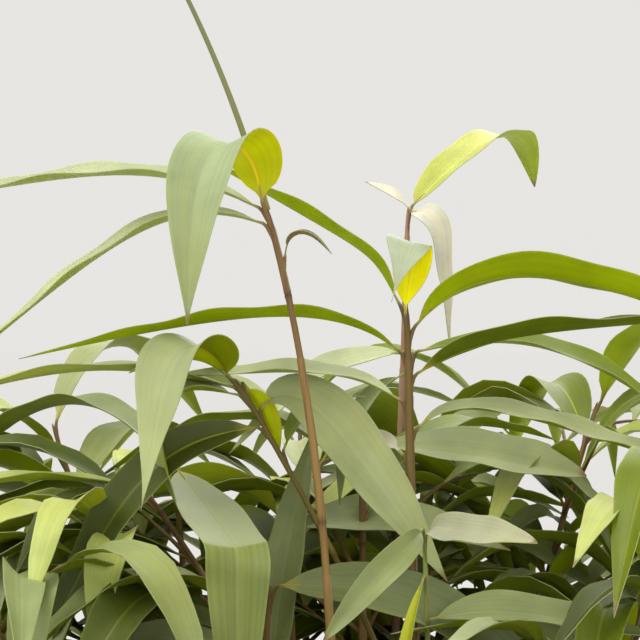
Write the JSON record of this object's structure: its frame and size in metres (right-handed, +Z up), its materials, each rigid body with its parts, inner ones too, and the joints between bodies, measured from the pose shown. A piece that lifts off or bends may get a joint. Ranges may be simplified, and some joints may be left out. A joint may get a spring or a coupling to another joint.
{
  "type": "potted bamboo",
  "caption": "Clump of slender leaning bamboo culms with broad arching leaves in masses, standing in a plain round clay pot of soil.",
  "frame": {"origin": "centre of the pot's flat underside", "axes": "+Z up from the underside through the pot; -Y is the plant's front, towards the picture's viewpoint; +X to the right as seen from the front"},
  "size_m": [0.5955, 0.5449, 0.935],
  "materials": {
    "pot": "plain fired clay, matt",
    "soil": "moist crumbly potting soil",
    "culm": "smooth tan to olive culms with dry sheaths",
    "leaf_fresh": "fresh yellow-green leaves, satin",
    "leaf_green": "sage to deep green leaves, satin",
    "leaf_pale": "pale green leaves, satin"
  },
  "bodies": {
    "root": {"culm_01": "culm", "culm_02": "culm", "culm_03": "culm", "culm_04": "culm", "culm_05": "culm", "culm_06": "culm", "culm_07": "culm", "culm_08": "culm", "culm_09": "culm", "culm_10": "culm", "culm_11": "culm", "culm_12": "culm", "culm_13": "culm", "culm_14": "culm", "culm_15": "culm", "culm_16": "culm", "culm_17": "culm", "culm_18": "culm", "leaves_01_curl": "leaf_pale", "leaves_01_flag": "leaf_fresh", "leaves_01_left": "leaf_green", "leaves_02_flag": "leaf_fresh", "leaves_02_left": "leaf_green", "leaves_02_right": "leaf_green", "leaves_03_flag": "leaf_fresh", "leaves_03_left": "leaf_green", "leaves_03_right": "leaf_green", "leaves_04_flag": "leaf_fresh", "leaves_04_front": "leaf_pale", "leaves_05_left": "leaf_green", "leaves_05_right": "leaf_green", "leaves_06_left": "leaf_green", "leaves_06_right": "leaf_green", "leaves_07_left": "leaf_green", "leaves_07_right": "leaf_green", "leaves_08_left": "leaf_green", "leaves_09_front": "leaf_pale", "leaves_09_left": "leaf_green", "leaves_10_left": "leaf_green", "leaves_10_right": "leaf_green", "leaves_11_left": "leaf_green", "leaves_11_right": "leaf_green", "leaves_12_left": "leaf_green", "leaves_12_right": "leaf_green", "leaves_13_left": "leaf_green", "leaves_13_right": "leaf_green", "leaves_14_left": "leaf_green", "leaves_14_right": "leaf_green", "leaves_15_left": "leaf_green", "leaves_15_right": "leaf_green", "leaves_16_left": "leaf_green", "leaves_16_right": "leaf_green", "leaves_17_left": "leaf_green", "leaves_17_right": "leaf_green", "leaves_18_left": "leaf_green", "leaves_18_right": "leaf_green", "pot": "pot", "soil": "soil"}
  },
  "joints": []
}
